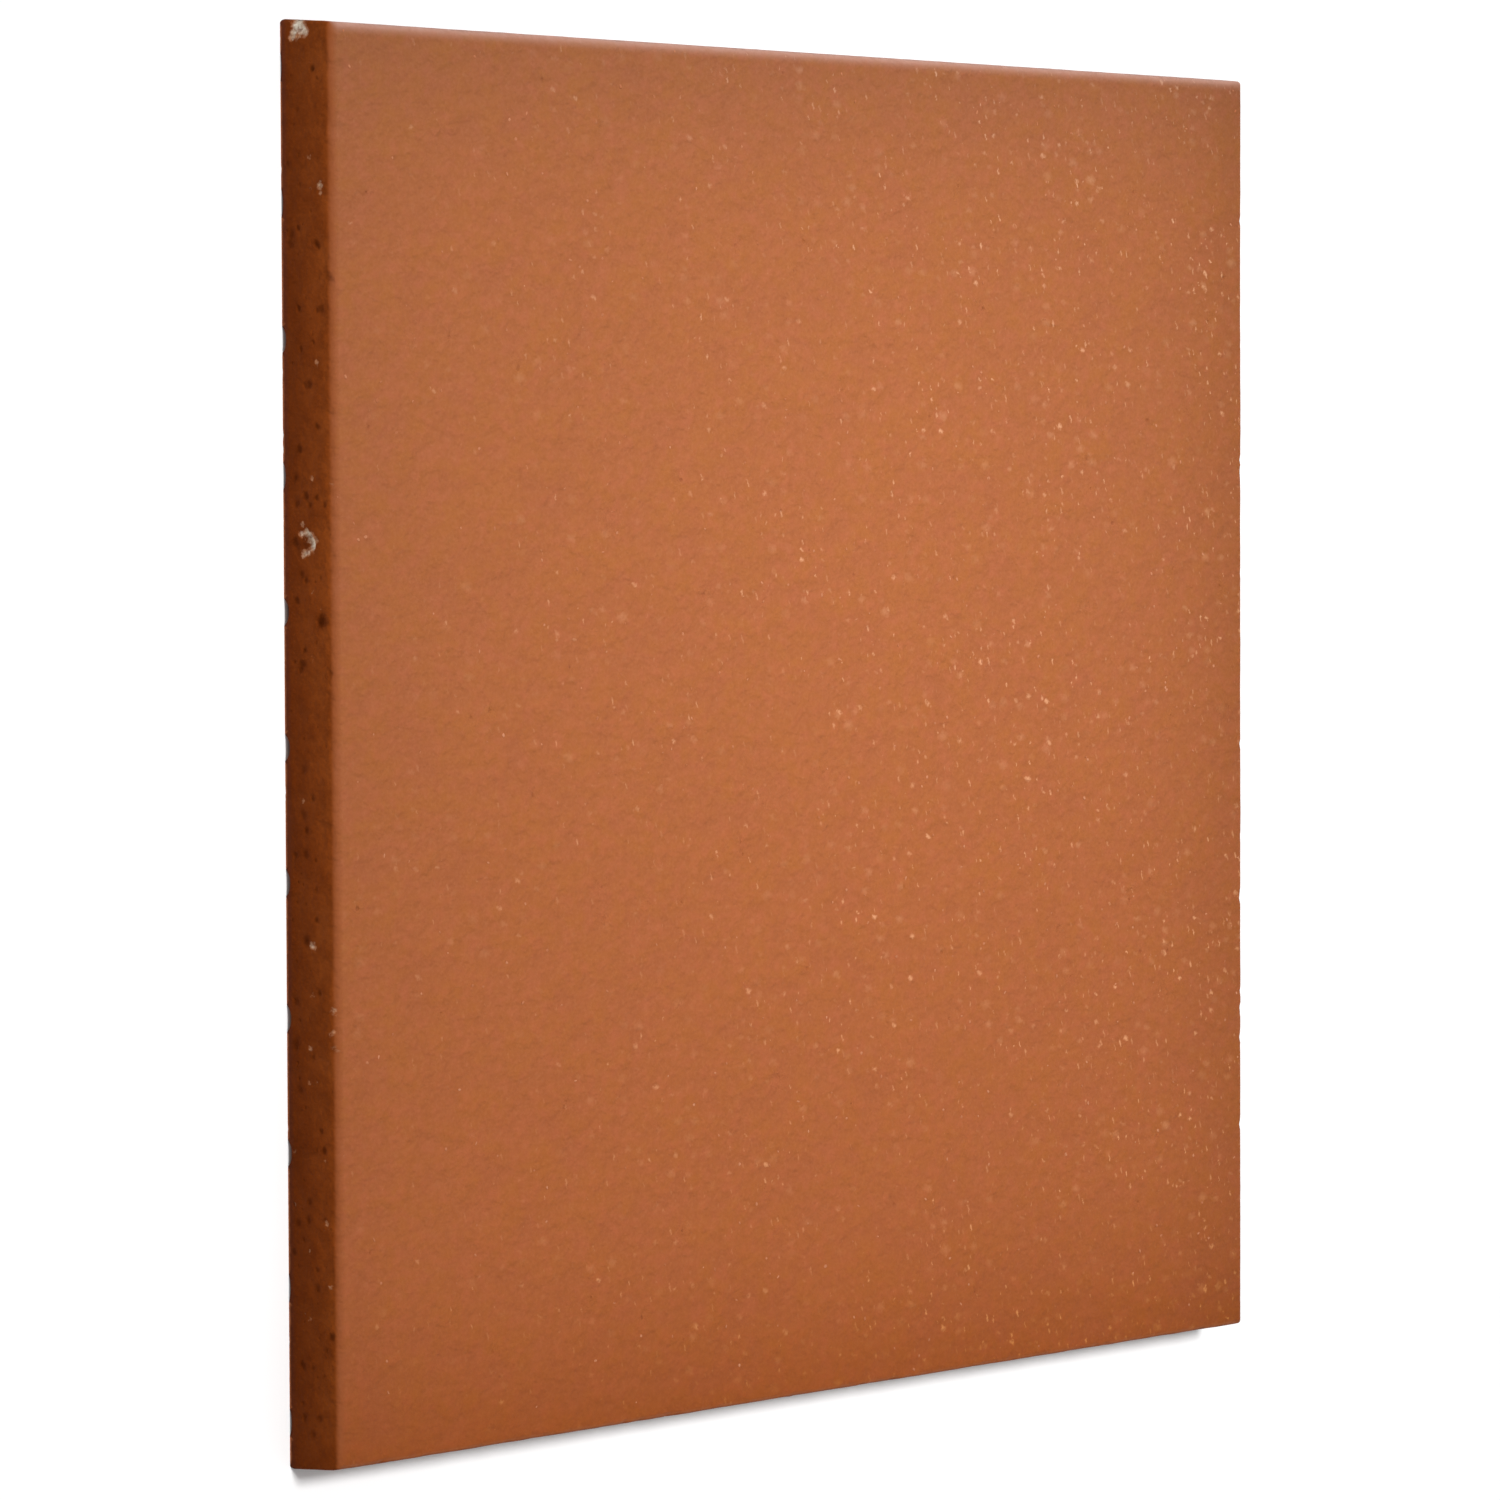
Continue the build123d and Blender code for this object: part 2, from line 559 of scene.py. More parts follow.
def rims(skin):
    """The arris, the four upright corners and the heels. Returns the walking face's outline."""
    loops = []
    for step in range(ARRIS_STEPS + 1):
        angle = math.pi / 2 * step / ARRIS_STEPS
        corner = CORNER + (TOP_CORNER - CORNER) * step / ARRIS_STEPS
        runs = ring(ARRIS * (1 - math.cos(angle)), corner)
        loops.append(joined(runs, SIDE_TOP + ARRIS * math.sin(angle)))
    for lower, upper in zip(loops, loops[1:]):
        skin.strip(lower, upper, closed=True)

    feet = [heel_ring(step) for step in range(HEEL_STEPS, -1, -1)]
    upright = ring(0, CORNER)
    for number in (1, 3, 5, 7):
        rows = [foot[number] for foot in feet]
        for z in evenly(HEEL, SIDE_TOP, 1.0)[1:]:
            rows.append([(point[0], point[1], z) for point in upright[number]])
        for lower, upper in zip(rows, rows[1:]):
            skin.strip(lower, upper)
    for number in (2, 6):
        for lower, upper in zip(feet, feet[1:]):
            skin.strip(lower[number], upper[number])
    return [(x, y) for x, y, z in loops[-1]]


def random_pores(count, u_half, v_low, v_high, widths, rng):
    pores = []
    for _ in range(count):
        width = widths[0] + (widths[1] - widths[0]) * rng.random() ** 2
        u = rng.uniform(-u_half + width, u_half - width)
        v = rng.uniform(v_low + width, v_high - width)
        pores.append((u, v, width))
    return pores


class Dent:
    """A bowl pressed into the surface: a pore, a chip or a nick, dark inside with painted shade, or pale
    inside.
    """

    def __init__(self, place, outward, width, depth, shade=0.0, lime=0.0):
        self.place = Vector(place)
        self.outward = Vector(outward).normalized()
        self.width = width
        self.depth = depth
        self.shade = shade
        self.lime = lime


def smooth(low, high, value):
    share = min(1.0, max(0.0, (value - low) / (high - low)))
    return share * share * (3 - 2 * share)


def press(dents, points, normals):
    """Presses the dents into the points, and gives each point its share of painted shade and its pale share.
    """
    tree = kdtree.KDTree(len(points))
    for index, point in enumerate(points):
        tree.insert(point, index)
    tree.balance()
    moved = points.copy()
    shade = np.zeros(len(points))
    lime = np.zeros(len(points))
    for number, dent in enumerate(dents):
        shift = Vector((number * 3.7, number * 1.9, number * 2.3))
        for place, index, _ in tree.find_range(dent.place, dent.width * 0.9):
            if Vector(normals[index]).dot(dent.outward) < 0.25:
                continue
            offset = place - dent.place
            flat = offset - dent.outward * offset.dot(dent.outward)
            warp = 1 + 0.5 * noise.noise(flat * (2.2 / dent.width) + shift)
            share = flat.length / (dent.width / 2) / max(0.5, warp)
            if share < 1:
                moved[index] -= np.array(dent.outward) * dent.depth * (1 - share * share) ** 0.8
            shade[index] = max(shade[index], dent.shade * smooth(1.5, 0.1, share))
            lime[index] = max(lime[index], dent.lime * smooth(1.5, 0.25, share))
    return moved, shade, lime


def end_dents(rng):
    """The dents of the cut end that the camera sees, and their places in it."""
    dents = []
    spots = []
    outward = (-1, 0, 0)
    for y, z, width, depth in CUT_END_PITS + [BURST_PIT]:
        spots.append((-y, z, width))
        shade = min(0.95, 0.3 + 0.85 * depth)
        dents.append(Dent((-HALF_X, y, z), outward, 1.15 * width, 0.5 * depth, shade=shade))
    for y, z, width, strength in CORNER_LIME + RIM_LIME + PALE_SPECKS:
        if y < LAND_END:
            spots.append((-y, z, width))
        dents.append(Dent((-HALF_X, y, z), outward, width, 0.12 * width * strength, lime=strength))
    for u, z, width in random_pores(END_PORES, X_LOW.run, 0.3, SIDE_TOP, (0.45, 1.0), rng):
        pale = rng.uniform(0.2, 0.4) if rng.random() < 0.15 else 0.0
        shade = 0.0 if pale else rng.uniform(0.1, 0.35)
        spots.append((u, z, width))
        dents.append(Dent((-HALF_X, -u, z), outward, width, 0.2 * width, shade, pale))
    return dents, spots


def side_dents(side, rng):
    """The pores of one of the other three sides, and their places in it."""
    spots = random_pores(SIDE_PORES, side.run, 1.6, SIDE_TOP, (0.6, 1.5), rng)
    dents = []
    for u, z, width in spots:
        pale = 1.0 if rng.random() < 0.2 else 0.0
        shade = (1 - pale) * rng.uniform(0.4, 1.0)
        dents.append(Dent(side.lift(u, z), side.normal(), width, 0.35 * width, shade, pale))
    return dents, spots


def face_dents(rng):
    """The pores of the walking face, and their places in it."""
    spots = random_pores(FACE_PORES, HALF_X - 3, -HALF_Y + 3, HALF_Y - 3, (0.45, 1.1), rng)
    dents = []
    for x, y, width in spots:
        shade = rng.uniform(0.1, 0.45)
        dents.append(Dent((x, y, FACE_Z), (0, 0, 1), width, 0.25 * width, shade=shade))
    return dents, spots


def edge_dents(rng):
    """Nicks and worn spots in the arris, and worn spots along the foot of the two cut ends, darkened with
    painted shade.
    """
    dents = []
    for y, width, depth in ARRIS_NICKS:
        place = (-HALF_X + 0.1, y, FACE_Z - 0.66)
        dents.append(Dent(place, (-1, 0, 0.5), width, depth, lime=0.33))
    for side in SIDES:
        for _ in range(ARRIS_WEAR):
            u = rng.uniform(-side.run, side.run)
            flat = side.outward * (side.reach - 0.32) + side.along * u
            outward = (side.outward[0], side.outward[1], 1)
            width = rng.uniform(0.7, 2.0)
            dents.append(Dent((flat[0], flat[1], FACE_Z - 0.32), outward, width, 0.12 * width))
    for side in (X_LOW, X_HIGH):
        for _ in range(FOOT_WEAR):
            u = rng.uniform(-side.run, side.run)
            flat = side.outward * side.reach + side.along * u
            outward = (side.outward[0], side.outward[1], -1)
            width = rng.uniform(0.5, 1.4)
            dents.append(Dent((flat[0], flat[1], 0.0), outward, width, 0.08 * width, shade=0.2))
    return dents


def closed_mesh(skin):
    """The collected surfaces as one closed mesh that faces outward."""
    mesh = bpy.data.meshes.new("tile_body")
    mesh.from_pydata(skin.points, [], skin.faces)
    shell = bmesh.new()
    shell.from_mesh(mesh)
    bmesh.ops.remove_doubles(shell, verts=shell.verts, dist=1e-3)
    loose = [vertex for vertex in shell.verts if not vertex.link_faces]
    bmesh.ops.delete(shell, geom=loose, context="VERTS")
    bmesh.ops.recalc_face_normals(shell, faces=shell.faces)
    shell.to_mesh(mesh)
    shell.free()
    return mesh


def vertex_vectors(mesh, name):
    """A vector of each of the mesh's vertices, such as its place or its normal."""
    values = np.empty(len(mesh.vertices) * 3)
    mesh.vertices.foreach_get(name, values)
    return values.reshape(-1, 3)


def surface_shares(points, normals):
    """How far each point belongs to each kind of surface."""
    from_middle = np.abs((points[:, 1] + GROOVE_PITCH / 2) % GROOVE_PITCH - GROOVE_PITCH / 2)
    in_groove = (points[:, 2] < GROOVE_DEPTH + 0.01) & (from_middle < LIP_Y + 0.01)
    in_groove &= (np.abs(points[:, 1]) < groove_centres()[-1] + LIP_Y + 0.01)
    in_groove &= (np.abs(points[:, 0]) < HALF_X - 0.01)
    on_land = (normals[:, 2] < -0.7) & (points[:, 2] < 0.02) & ~in_groove
    above = points[:, 2] > SIDE_TOP - 0.01
    return {
        "wall": np.where(in_groove, 0, np.clip(1.3 - 2.0 * np.abs(normals[:, 2]), 0, 1)),
        "arris": np.where(above, np.clip((1 - normals[:, 2]) * 6, 0, 1), 0),
        "face": np.clip((normals[:, 2] - 0.2) / 0.6, 0, 1),
        "land": on_land.astype(float),
        "groove": in_groove.astype(float),
        "torn": on_land * np.clip((HALF_X - np.abs(points[:, 0])) / 2.5, 0, 1),
    }


def build_tile():
    """The tile's mesh in metres, with its dents and the shares that its material reads."""
    rng = random.Random(SEED)
    dents, spots = end_dents(rng)
    side_spots = {X_LOW: spots}
    for side in (X_HIGH, Y_HIGH, Y_LOW):
        pores, side_spots[side] = side_dents(side, rng)
        dents += pores
    pores, face_spots = face_dents(rng)
    dents += pores
    dents += edge_dents(rng)

    skin = Skin()
    face_outline = rims(skin)
    walking_face(skin, face_outline, face_spots, rng)
    for side in (X_LOW, X_HIGH):
        cut_end(skin, side, side_spots[side], rng)
    for side in (Y_LOW, Y_HIGH):
        die_side(skin, side, side_spots[side], rng)
    lands(skin, rng)

    mesh = closed_mesh(skin)
    points = vertex_vectors(mesh, "co")
    normals = vertex_vectors(mesh, "normal")
    moved, shade, lime = press(dents, points, normals)
    moved = smear_groove_ends(points, moved)
    moved = flare_sides(points, moved)
    mesh.vertices.foreach_set("co", (moved * MM).ravel())
    shares = {"shade": shade, "lime": lime}
    shares.update(surface_shares(points, normals))
    for name, values in shares.items():
        attribute = mesh.attributes.new(name, "FLOAT", "POINT")
        attribute.data.foreach_set("value", values.astype(np.float32))
    mesh.update()
    return mesh


def flare_sides(points, moved):
    """Leans the die's two sides out towards the back, from the outermost grooves on."""
    made = moved.copy()
    inner = groove_centres()[-1] + LIP_Y
    share = np.clip((np.abs(points[:, 1]) - inner) / (LAND_END - inner), 0, 1)
    made[:, 1] += np.sign(points[:, 1]) * FLARE * share * (1 - np.clip(points[:, 2] / FACE_Z, 0, 1))
    return made


def smear_groove_ends(points, moved):
    """Clay that the cutting wire dragged across the mouths of some grooves."""
    made = moved.copy()
    near_end = np.clip(1 - (points[:, 0] + HALF_X) / 5.0, 0, 1)
    for centre, left_open in zip(groove_centres(), GROOVE_ENDS):
        inside = (np.abs(points[:, 1] - centre) < LIP_Y) & (points[:, 2] < GROOVE_DEPTH + 0.01)
        made[inside, 2] *= 1 - (1 - left_open) * near_end[inside] ** 2
    return made


def add_node(tree, kind, inputs=None, **settings):
    """A node with its settings and its inputs, each a value or another node's socket."""
    made = tree.nodes.new(kind)
    for name, value in settings.items():
        setattr(made, name, value)
    for key, value in (inputs or {}).items():
        if isinstance(value, bpy.types.NodeSocket):
            tree.links.new(value, made.inputs[key])
        else:
            made.inputs[key].default_value = value
    return made


def maths(tree, operation, first, second=0.0, third=0.0):
    made = add_node(tree, "ShaderNodeMath", {0: first, 1: second, 2: third}, operation=operation)
    return made.outputs[0]


def spread(tree, value, from_low, from_high, to_low=0.0, to_high=1.0):
    """A value carried from one range to another, and held within it."""
    inputs = {0: value, 1: from_low, 2: from_high, 3: to_low, 4: to_high}
    return add_node(tree, "ShaderNodeMapRange", inputs).outputs[0]


def cloud(tree, place, scale, detail=2.0, roughness=0.5):
    """Soft noise with so many waves to a metre."""
    inputs = {"Vector": place, "Scale": scale, "Detail": detail, "Roughness": roughness}
    return add_node(tree, "ShaderNodeTexNoise", inputs).outputs[0]


def stretched(tree, place, by):
    """A place whose axes are scaled, to draw a pattern out along some of them."""
    return add_node(tree, "ShaderNodeVectorMath", {0: place, 1: by}, operation="MULTIPLY").outputs[0]


def blend(tree, share, first, second, kind="MIX"):
    """One colour laid over another."""
    inputs = {0: share, 6: first, 7: second}
    return add_node(tree, "ShaderNodeMix", inputs, data_type="RGBA", blend_type=kind).outputs[2]


def share_of(tree, name):
    return add_node(tree, "ShaderNodeAttribute", attribute_name=name).outputs["Fac"]


def new_material(name):
    """A material with an empty node tree."""
    material = bpy.data.materials.new(name)
    material.use_nodes = True
    material.node_tree.nodes.clear()
    return material, material.node_tree


def clay_noises(tree, place):
    """The clay's unevenness, from broad blotches down to its grain, drawn out a little along x."""
    drawn = stretched(tree, place, (0.85, 1.0, 1.0))
    return {
        "blotch": cloud(tree, place, 17.0, 2.0, 0.5),
        "patch": cloud(tree, drawn, 85.0, 2.0, 0.5),
        "mottle": cloud(tree, drawn, 200.0, 3.0, 0.55),
        "ripple": cloud(tree, drawn, 450.0, 2.0, 0.5),
        "crumb": cloud(tree, drawn, 750.0, 3.0, 0.55),
        "grain": cloud(tree, place, 1500.0, 2.0, 0.6),
    }


def layered(tree, colour, noises, layers):
    """A colour with other colours laid over it, each by its noise."""
    for name, low, high, strongest, over in layers:
        share = spread(tree, noises[name], low, high, 0.0, strongest)
        colour = blend(tree, share, colour, over)
    return colour


def pale_specks_and_painted_glints(tree, place, x_axis, face_share):
    """Sand that shows pale in the walking face, and painted glints; more of both towards high x, where the
    painted glints follow the light.
    """
    wander = cloud(tree, place, 1300.0, 2.0, 0.5)
    drift = add_node(tree, "ShaderNodeCombineXYZ", {
        0: spread(tree, wander, 0.0, 1.0, -0.0008, 0.0008),
        1: spread(tree, wander, 0.0, 1.0, 0.0007, -0.0007)}).outputs[0]
    cluster = spread(tree, cloud(tree, place, 55.0, 2.0, 0.6), 0.38, 0.6, 0.3, 1.0)
    cluster = maths(tree, "MULTIPLY", cluster, spread(tree, x_axis, -0.12, 0.1, 0.5, 1.4))
    speck_and_glint = None
    for squeeze, cells_per_metre, rarity_low_x, rarity_high_x, widest, strength in SPECK_AND_GLINT_LAYERS:
        flat = stretched(tree, place, squeeze)
        ragged = add_node(tree, "ShaderNodeVectorMath", {0: flat, 1: drift}, operation="ADD").outputs[0]
        cells = add_node(
            tree, "ShaderNodeTexVoronoi", {"Vector": ragged, "Scale": cells_per_metre},
            voronoi_dimensions="2D")
        chance = add_node(tree, "ShaderNodeSeparateColor", {0: cells.outputs["Color"]}).outputs
        rarity = spread(tree, x_axis, -0.12, 0.12, rarity_low_x, rarity_high_x)
        chosen = maths(tree, "GREATER_THAN", chance[0], rarity)
        size = spread(tree, chance[1], 0.0, 1.0, 0.06, widest)
        dot = spread(tree, cells.outputs["Distance"], size, maths(tree, "MULTIPLY", size, 0.2))
        faint = maths(tree, "MULTIPLY", maths(tree, "POWER", chance[2], 1.5), strength)
        dot = maths(tree, "MULTIPLY", maths(tree, "MULTIPLY", dot, chosen), faint)
        speck_and_glint = dot if speck_and_glint is None else maths(tree, "MAXIMUM", speck_and_glint, dot)
    return maths(tree, "MULTIPLY", speck_and_glint, maths(tree, "MULTIPLY", face_share, cluster))


def face_colour(tree, place, axes, noises, face_share):
    """The walking face and its arris: warm clay with pale specks and painted glints, painted shade towards
    low y and at its margins, and painted shade on the arris over the cut end at low x.
    """
    face = layered(tree, FACE_CLAY, noises, FACE_LAYERS)
    speck_and_glint = pale_specks_and_painted_glints(tree, place, axes[0], face_share)
    # pale sand and painted glints
    face = blend(tree, maths(tree, "MULTIPLY", speck_and_glint, 0.85), face, SPECK_AND_GLINT_COLOUR)
    # painted shade, deepening towards low y
    downward = maths(tree, "POWER", spread(tree, axes[1], 0.12, -0.12), 1.5)
    face = blend(tree, downward, face, FACE_LOW_Y_PAINTED_SHADE, "MULTIPLY")
    # painted shade at the four margins
    for axis, inner, tint in FACE_MARGIN_PAINTED_SHADE:
        margin = maths(tree, "POWER", spread(tree, axes[axis], inner, inner * 1.5), 2.0)
        face = blend(tree, margin, face, tint, "MULTIPLY")
    worn = spread(tree, noises["crumb"], 0.3, 0.6, 0.25, 0.7)
    face = blend(tree, maths(tree, "MULTIPLY", share_of(tree, "arris"), worn), face, ARRIS_CLAY)
    # painted shade on the arris over the cut end at low x
    near_end = maths(tree, "MULTIPLY", spread(tree, axes[0], -0.1181, -0.1194), 0.85)
    return blend(tree, near_end, face, NEAR_END_PAINTED_SHADE)


def wall_colour(tree, axes, noises):
    """The cut and die sides: clay darker than the face, partly painted shade, with painted shade deepening
    towards the foot, dark clouds low down, a purple-dark band of painted shade along the foot, and painted
    shade towards low y.
    """
    height = axes[2]
    wall = blend(tree, spread(tree, height, 0.0, 0.0115), WALL_FOOT_SHADED_CLAY, WALL_TOP_SHADED_CLAY)
    wall = layered(tree, wall, noises, WALL_LAYERS)
    low_down = spread(tree, height, 0.007, 0.003, 0.0, 0.4)
    low_cloud = maths(tree, "MULTIPLY", spread(tree, noises["patch"], 0.45, 0.68), low_down)
    wall = blend(tree, low_cloud, wall, WALL_CLOUD)
    # painted shade along the foot
    wall = blend(tree, spread(tree, height, 0.0016, 0.0002, 0.0, 0.7), wall, WALL_FOOT_PAINTED_SHADE)
    # painted shade on the sides towards low y
    return blend(tree, spread(tree, axes[1], -0.12, 0.02, 1.0, 0.0), wall, WALL_LOW_Y_PAINTED_SHADE, "MULTIPLY")


def painted_sheen_share(tree, axes, crumb):
    """How far a painted sheen, a pale highlight from the light beyond high y, covers the arris at high y."""
    painted_sheen = maths(tree, "POWER", spread(tree, axes[1], 0.1176, 0.1200), 2.2)
    painted_sheen = maths(tree, "MULTIPLY", painted_sheen, spread(tree, crumb, 0.3, 0.65, 0.62, 0.82))
    painted_sheen = maths(tree, "MULTIPLY", painted_sheen, spread(tree, axes[2], 0.0095, 0.0106))
    return maths(tree, "MULTIPLY", painted_sheen, spread(tree, axes[0], -0.1196, -0.1180))


def with_lime(tree, clay, noises):
    """Lime over the clay: broken and peach where it is thin, pale where it is thick."""
    limed = share_of(tree, "lime")
    lime = blend(tree, spread(tree, limed, 0.6, 1.0), THIN_LIME, THICK_LIME)
    lime = blend(tree, spread(tree, noises["ripple"], 0.42, 0.62, 0.0, 0.8), lime, STAINED_LIME)
    broken = maths(tree, "MULTIPLY", maths(tree, "ADD", noises["crumb"], noises["grain"]), 1.5)
    share = spread(tree, maths(tree, "ADD", limed, broken), 1.75, 2.55)
    share = maths(tree, "MULTIPLY", share, spread(tree, limed, 0.05, 0.3))
    return blend(tree, share, clay, lime)


def fired_clay():
    """Matt terracotta: a sanded walking face, cut and die sides painted darker, partly as painted shade, a
    painted sheen on the arris at high y, painted shade in the pits and pores, and a dusty split back.
    """
    material, tree = new_material("fired_clay")
    place = add_node(tree, "ShaderNodeTexCoord").outputs["Object"]
    axes = add_node(tree, "ShaderNodeSeparateXYZ", {0: place}).outputs
    noises = clay_noises(tree, place)
    face_share = share_of(tree, "face")
    back_share = maths(tree, "MAXIMUM", share_of(tree, "land"), share_of(tree, "groove"))

    wall = wall_colour(tree, axes, noises)
    face = face_colour(tree, place, axes, noises, face_share)
    back = layered(tree, BACK_CLAY, noises, BACK_LAYERS)
    clay = blend(tree, face_share, wall, face)
    clay = blend(tree, back_share, clay, back)
    # painted sheen on the arris at high y
    clay = blend(tree, painted_sheen_share(tree, axes, noises["crumb"]), clay, ARRIS_PAINTED_SHEEN)
    dark = spread(tree, noises["grain"], 0.3, 0.6, 0.55, 0.85)
    # painted shade inside the pits, pores and foot spots
    clay = blend(tree, maths(tree, "MULTIPLY", share_of(tree, "shade"), dark), clay, PIT_SHADE)
    clay = with_lime(tree, clay, noises)

    height = None
    for name, weight in BUMP_WEIGHTS.items():
        part = maths(tree, "MULTIPLY", noises[name], weight)
        height = part if height is None else maths(tree, "ADD", height, part)
    bump = add_node(tree, "ShaderNodeBump", {"Strength": 1.0, "Distance": BUMP_HEIGHT, "Height": height})
    shader = add_node(tree, "ShaderNodeBsdfPrincipled", {
        "Base Color": clay,
        "Roughness": spread(tree, noises["mottle"], 0.3, 0.7, 0.74, 0.9),
        "Specular IOR Level": spread(tree, face_share, 0.0, 1.0, 0.04, 0.28),
        "Normal": bump.outputs[0]})
    add_node(tree, "ShaderNodeOutputMaterial", {"Surface": shader.outputs[0]})
    return material


def pale_grit():
    """The sand that was fired into the walking face."""
    material, tree = new_material("pale_grit")
    place = add_node(tree, "ShaderNodeTexCoord").outputs["Object"]
    grain = cloud(tree, place, 2100.0, 2.0, 0.6)
    tone = share_of(tree, "tone")
    colour = blend(tree, tone, (0.36, 0.105, 0.034, 1), (0.52, 0.21, 0.105, 1))
    colour = blend(tree, spread(tree, grain, 0.4, 0.7, 0.0, 0.4), colour, (0.36, 0.10, 0.03, 1))
    shader = add_node(tree, "ShaderNodeBsdfPrincipled", {
        "Base Color": colour,
        "Roughness": spread(tree, grain, 0.3, 0.7, 0.65, 0.85),
        "Specular IOR Level": 0.3})
    add_node(tree, "ShaderNodeOutputMaterial", {"Surface": shader.outputs[0]})
    return material


def node_group(name, sockets):
    """An empty Geometry Nodes tree with named inputs, and the inputs' identifiers."""
    tree = bpy.data.node_groups.new(name, "GeometryNodeTree")
    tree.interface.new_socket("Geometry", in_out="INPUT", socket_type="NodeSocketGeometry")
    tree.interface.new_socket("Geometry", in_out="OUTPUT", socket_type="NodeSocketGeometry")
    identifiers = {}
    for label, kind in sockets.items():
        made = tree.interface.new_socket(label, in_out="INPUT", socket_type=kind)
        identifiers[label] = made.identifier
    return tree, identifiers


def grown(obj, tree, identifiers, values):
    """The mesh that a Geometry Nodes tree makes of an object, as data of its own."""
    modifier = obj.modifiers.new(tree.name, "NODES")
    modifier.node_group = tree
    for label, value in values.items():
        modifier[identifiers[label]] = value
    seen = obj.evaluated_get(bpy.context.evaluated_depsgraph_get())
    mesh = bpy.data.meshes.new_from_object(seen)
    obj.modifiers.remove(modifier)
    return mesh


def relief_tree():
    """Fired clay's unevenness: a torn split back, drag lines in the grooves, soft sides and arrises."""
    tree, identifiers = node_group("fired_relief", {
        "Torn Depth": "NodeSocketFloat",
        "Drag Depth": "NodeSocketFloat",
        "Side Depth": "NodeSocketFloat",
        "Arris Depth": "NodeSocketFloat",
        "Face Depth": "NodeSocketFloat",
        "Seed": "NodeSocketFloat"})
    given = add_node(tree, "NodeGroupInput")
    place = add_node(tree, "GeometryNodeInputPosition").outputs[0]
    normal = add_node(tree, "GeometryNodeInputNormal").outputs[0]

    def waves(scale, detail, roughness, low, high):
        inputs = {"Vector": stretched(tree, place, scale), "W": given.outputs["Seed"], "Scale": 1.0,
                  "Detail": detail, "Roughness": roughness}
        made = add_node(tree, "ShaderNodeTexNoise", inputs, noise_dimensions="4D")
        return spread(tree, made.outputs[0], low, high)

    def share(name):
        made = add_node(tree, "GeometryNodeInputNamedAttribute", {"Name": name}, data_type="FLOAT")
        return made.outputs[0]

    def part(name, label, height):
        depth = maths(tree, "MULTIPLY", share(name), given.outputs[label])
        return maths(tree, "MULTIPLY", depth, height)

    torn = waves((120.0, 420.0, 420.0), 5.0, 0.62, 0.42, 0.72)
    lines = waves((9.0, 2400.0, 2400.0), 2.0, 0.5, 0.3, 0.7)
    soft = waves((260.0, 260.0, 260.0), 3.0, 0.55, 0.25, 0.75)
    long_wave = waves((90.0, 90.0, 90.0), 3.0, 0.6, 0.3, 0.7)
    swell = waves((14.0, 14.0, 14.0), 1.0, 0.5, 0.3, 0.7)
    depth = maths(tree, "ADD", part("torn", "Torn Depth", torn), part("groove", "Drag Depth", lines))
    depth = maths(tree, "ADD", depth, part("wall", "Side Depth", soft))
    depth = maths(tree, "ADD", depth, part("arris", "Arris Depth", long_wave))
    depth = maths(tree, "ADD", depth, part("face", "Face Depth", swell))
    inward = maths(tree, "MULTIPLY", depth, -1.0)
    offset = add_node(tree, "ShaderNodeVectorMath", {0: normal, "Scale": inward}, operation="SCALE")
    moved = add_node(tree, "GeometryNodeSetPosition", {
        "Geometry": given.outputs["Geometry"], "Offset": offset.outputs[0]})
    add_node(tree, "NodeGroupOutput", {0: moved.outputs[0]})
    return tree, identifiers


